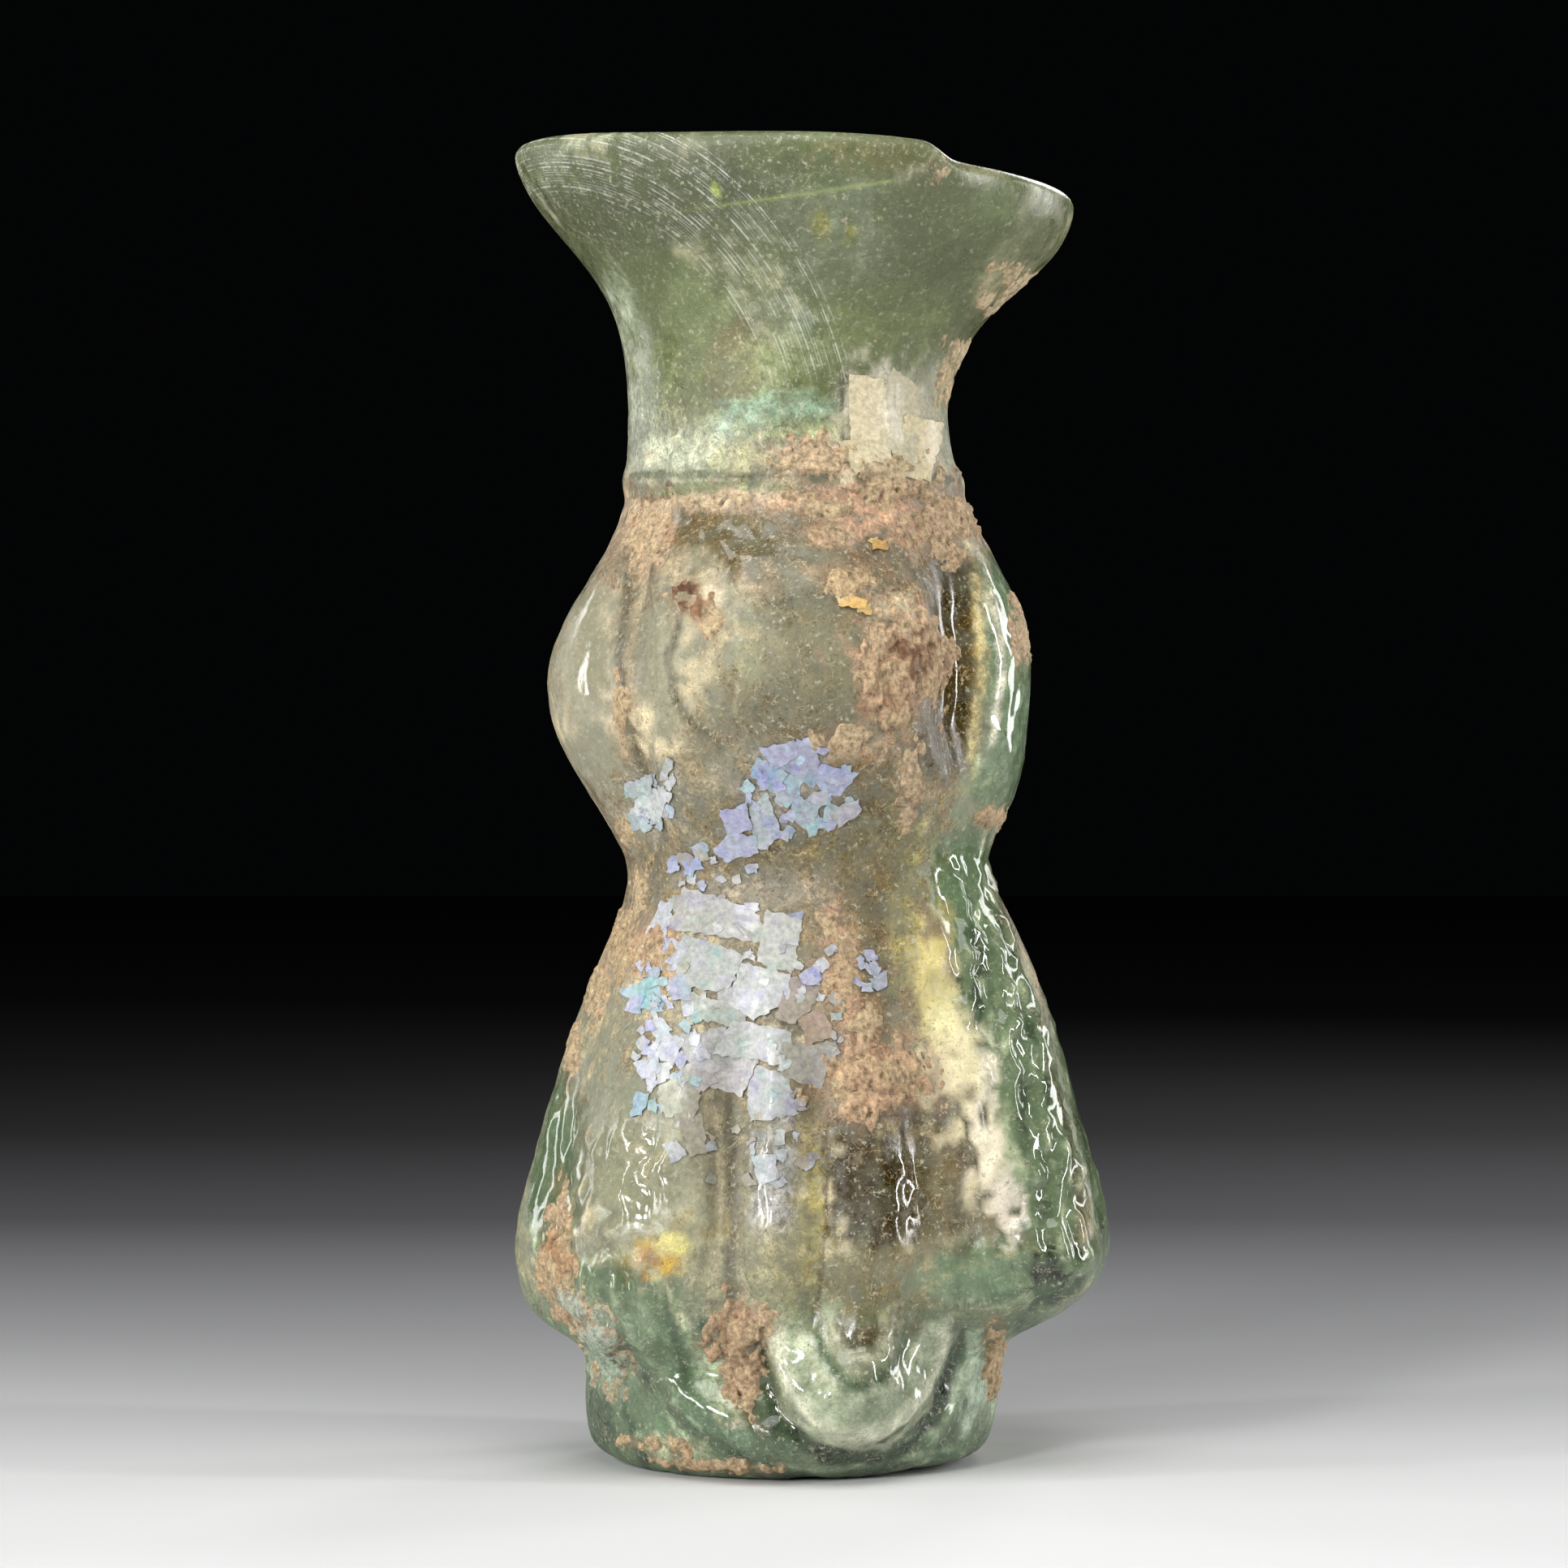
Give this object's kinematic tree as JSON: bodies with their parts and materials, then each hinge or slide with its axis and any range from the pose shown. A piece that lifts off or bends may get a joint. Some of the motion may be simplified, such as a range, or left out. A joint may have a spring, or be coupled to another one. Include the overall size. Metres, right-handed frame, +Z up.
{
  "type": "glass unguentarium",
  "caption": "Small blown glass flask with a flaring mouth, short neck, lobed bulb, pinched waist and four-cornered skirt on a stub foot, crusted and iridescent from burial.",
  "frame": {"origin": "middle of the vessel's outline from above, on the plane of its underside", "axes": "+Z up along the vessel, -Y towards the fluted front, +X to the right seen from the front"},
  "size_m": [0.0356, 0.033, 0.0768],
  "materials": {
    "weathered_glass": "thin bluish green blown glass, dulled outside by weathering, with beige earth crust, a pearly brown film inside and thin iridescent scales"
  },
  "bodies": {
    "root": {"flask": "weathered_glass"}
  },
  "joints": []
}
